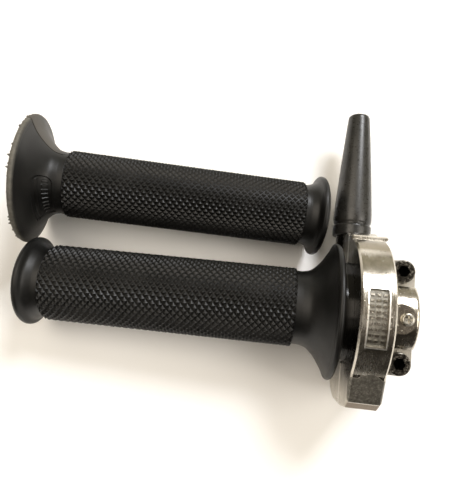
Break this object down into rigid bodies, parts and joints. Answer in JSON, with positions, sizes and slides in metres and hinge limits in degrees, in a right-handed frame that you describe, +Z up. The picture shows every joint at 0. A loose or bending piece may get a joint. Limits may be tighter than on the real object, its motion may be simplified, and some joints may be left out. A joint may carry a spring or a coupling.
{
  "type": "throttle grip",
  "caption": "Twist throttle for a motorcycle handlebar: rubber grip on a turning tube, split metal housing with bar clamp, rubber cable boot, and a matching plain grip.",
  "frame": {"origin": "middle of the handlebar clamp's bore, on the bar's axis", "axes": "+Z up from the floor the set lies on, +X along the floor from the grips towards the clamp, +Y towards the side the cable leaves. The bar's axis rises towards +X by 5.16 degrees, and the cable's rises towards +Y by 5.5 degrees."},
  "size_m": [0.1614, 0.1282, 0.0599],
  "materials": {
    "cast_aluminium": "polished band on a bead-blasted casting",
    "black_steel": "black oxide, oiled",
    "plated_steel": "zinc plate",
    "nylon": "moulded black nylon",
    "white_nylon": "natural nylon",
    "felt": "grey felt",
    "grip_rubber": "moulded black rubber"
  },
  "bodies": {
    "housing": {"housing_upper": "cast_aluminium", "housing_lower": "cast_aluminium", "clamp_screw_front": "black_steel", "clamp_screw_rear": "black_steel", "clamp_washer_front": "plated_steel", "clamp_washer_rear": "plated_steel", "locating_screw": "plated_steel", "dowel_pins": "plated_steel", "dust_seal": "felt", "thrust_washer": "white_nylon", "locknut_washer": "plated_steel", "adjuster_locknut": "plated_steel"},
    "throttle": {"throttle_tube": "nylon", "cable_drum": "nylon", "drum_circlip": "black_steel", "throttle_grip_rubber": "grip_rubber"},
    "cable_end": {"cable_seat": "white_nylon"},
    "adjuster": {"cable_adjuster": "plated_steel"},
    "boot": {"cable_boot": "grip_rubber"},
    "plain_grip": {"plain_grip_rubber": "grip_rubber"}
  },
  "joints": [
    {"name": "throttle_twist", "type": "hinge", "parent": "housing", "child": "throttle", "pos_m": [0, 0, 0], "axis": [-0.9959, 0, -0.09], "range_deg": [0, 80]},
    {"name": "boot_pull_back", "type": "slide", "parent": "housing", "child": "boot", "axis": [-0.0086, 0.9954, 0.0955], "range_m": [0, 0.03]},
    {"name": "adjuster_travel", "type": "slide", "parent": "housing", "child": "cable_end", "axis": [-0.0086, 0.9954, 0.0955], "range_m": [0, 0.005]},
    {"name": "adjuster_turn", "type": "hinge", "parent": "cable_end", "child": "adjuster", "pos_m": [-0.01224, 0.04671, -0.01676], "axis": [-0.0086, 0.9954, 0.0955], "range_deg": [0, 1800]},
    {"name": "plain_grip_lift", "type": "slide", "parent": "housing", "child": "plain_grip", "axis": [0, 0, 1], "range_m": [0, 0.1]}
  ],
  "couplings": [
    {"joint": "adjuster_travel", "follows": "adjuster_turn", "m_per_rad": 0.00015915}
  ]
}
